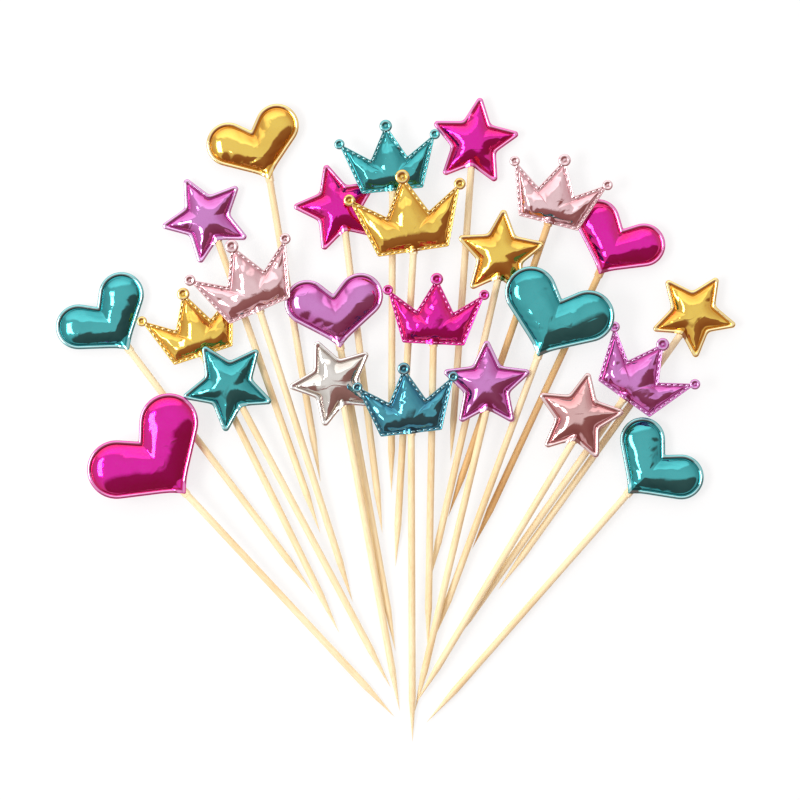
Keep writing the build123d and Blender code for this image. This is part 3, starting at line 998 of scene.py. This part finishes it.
def bamboo(topper):
    """Bare bamboo: noise stretched along the stick for the fibres, and slow bands of colour."""
    material, tree, shader = new_surface(topper.name + "_bamboo", Specular_IOR_Level=0.35)
    run = PLACES[topper.name].axes[1]
    turn = (0.0, 0.0, math.atan2(run[0], run[1]))
    place = Flow.node(tree, "TexCoord", output="Object")
    turned = Flow.node(tree, "Mapping", {"vector_type": "POINT"}, Vector=place, Rotation=turn)
    thin = Flow.node(tree, "Mapping", Vector=turned, Scale=FIBRE_SCALE)
    fibres = Flow.node(tree, "TexNoise", Vector=thin, Scale=2600.0, Detail=4.0, Roughness=0.65)
    bands = Flow.node(tree, "TexNoise", Vector=turned, Scale=28.0, Detail=2.0)
    brown = fibres.between(*FIBRE_EDGE) * FIBRE_BROWN + bands.between(*BAND_EDGE) * BAND_BROWN
    pale, dark = TAN_BAMBOO if topper.name in TAN_STICKS else PALE_BAMBOO
    feed(tree, shader.inputs["Base Color"], mix_colours(tree, brown, (*pale, 1), (*dark, 1)))
    feed(tree, shader.inputs["Roughness"], 0.5 + 0.2 * fibres)
    bump = Flow.node(tree, "Bump", Height=fibres, Strength=0.3, Distance=0.0002)
    feed(tree, shader.inputs["Normal"], bump)
    return material


for topper in FAN:
    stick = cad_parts[topper.name + "_stick"]
    stick.data.materials.clear()
    stick.data.materials.append(bamboo(topper))
print("sticks:", len(FAN))

# %% [markdown]
# ## Studio
# The photograph looks straight down on a white table under soft light from the upper left. The
# camera stands over the same spot, far enough away that the picture is nearly flat. Foil mostly
# shows what is above it, so the surroundings matter as much as the lamps. More lamps would be the
# easy way to more sparkle, but every head would show each of them, so there is one softbox in a pale
# room that is lighter at the top of the picture and dim at the lower right.

# %% Floor
FLOOR_HALF, FLOOR_GLOW = 1.5, 0.75
SEEN_RAYS = ("Is Camera Ray", "Is Glossy Ray", "Is Transmission Ray")


def pale_floor():
    """A white table top: plain diffuse white, brightened where it is seen, also in the foil."""
    corners = FLOOR_HALF * np.array(((-1, -1, 0), (1, -1, 0), (1, 1, 0), (-1, 1, 0)), float)
    piece = mesh_object("floor", corners, np.array(((0, 1, 2, 3),)))
    material, tree, shader = new_surface("white_table", Base_Color=(0.93, 0.93, 0.93, 1), Roughness=0.7)
    camera_ray, glossy_ray, through_ray = (
        Flow.node(tree, "LightPath", output=kind) for kind in SEEN_RAYS
    )
    seen = (camera_ray + glossy_ray + through_ray).between(0.0, 1.0)
    table = Flow(tree, shader.outputs[0])
    glow = Flow.node(tree, "Emission", Color=(1, 1, 1, 1), Strength=1.0)
    blend = Flow.node(tree, "MixShader", sockets={0: seen * FLOOR_GLOW, 1: table, 2: glow})
    feed(tree, tree.nodes["Material Output"].inputs["Surface"], blend)
    piece.data.materials.append(material)


pale_floor()
print("floor:", 2 * FLOOR_HALF, "m square")

# %% Surroundings and lamps
NORTH_WAY, NORTH_EDGE = np.array((-0.2, 0.9, 0.35)), (0.66, 0.74)
DIM_WAY, DIM_EDGE = np.array((0.45, -0.8, 0.45)), (0.56, 0.65)
UP_WAY, LOW_EDGE = np.array((0.0, 0.0, 1.0)), (0.1, 0.2)
WOOD_WALL = (0.37, 0.19, 0.175, 1)
ROOM_LIGHT, WALL_LIGHT = 0.9, 0.8
KEY_PLACE, KEY_SIZE, KEY_POWER = (-0.62, -0.05, 0.85), (0.55, 0.32), 5.4


def towards(tree, direction, edge):
    """How far a look into the room goes one way: its cosine, from 0 to 1 across the edge."""
    look = Flow.node(tree, "TexCoord", output="Generated")
    aim = tuple(direction / np.linalg.norm(direction))
    settings = {"operation": "DOT_PRODUCT"}
    return Flow.node(tree, "VectorMath", settings, {0: look, 1: aim}, output="Value").between(*edge)


def surroundings():
    """A pale room by direction: a lighter wall behind the fan, and a dim one in front of it."""
    world = bpy.data.worlds.new("room")
    world.use_nodes = True
    bpy.context.scene.world = world
    tree = world.node_tree
    wall = towards(tree, NORTH_WAY, NORTH_EDGE)
    dim = towards(tree, DIM_WAY, DIM_EDGE) * towards(tree, UP_WAY, LOW_EDGE)
    background = tree.nodes["Background"]
    feed(tree, background.inputs["Color"], mix_colours(tree, dim, (1, 1, 1, 1), WOOD_WALL))
    feed(tree, background.inputs["Strength"], ROOM_LIGHT + wall * WALL_LIGHT)


def softbox(name, place, aim, width, height, power):
    """An oblong lamp that looks from its place to its aim."""
    lamp = bpy.data.lights.new(name, "AREA")
    lamp.shape, lamp.size, lamp.size_y, lamp.energy = "RECTANGLE", width, height, power
    piece = bpy.data.objects.new(name, lamp)
    bpy.context.scene.collection.objects.link(piece)
    piece.location = place
    piece.rotation_euler = Vector(np.subtract(place, aim)).to_track_quat("Z", "Y").to_euler()


surroundings()
softbox("key", KEY_PLACE, (0, 0, 0), *KEY_SIZE, KEY_POWER)

# %% Camera
FRAME_W = 344.0
FRAME_MIDDLE = (1.7, 8.6)
CAMERA_H, HEADS_H = 1.4, 8.0


def overhead_camera():
    """A camera that looks straight down, with the frame as wide on the table as the photograph."""
    lens = bpy.data.cameras.new("overhead")
    lens.sensor_width = lens.sensor_height = 36.0
    lens.sensor_fit = "HORIZONTAL"
    lens.lens = lens.sensor_width * (CAMERA_H - HEADS_H * MM) / (FRAME_W * MM)
    camera = bpy.data.objects.new("overhead", lens)
    bpy.context.scene.collection.objects.link(camera)
    camera.location = (*(MM * np.array(FRAME_MIDDLE) + table_shift), CAMERA_H)
    bpy.context.scene.camera = camera
    return camera


camera = overhead_camera()
bpy.context.scene.view_settings.view_transform = "Standard"
print("camera:", tuple(round(v, 4) for v in camera.location))
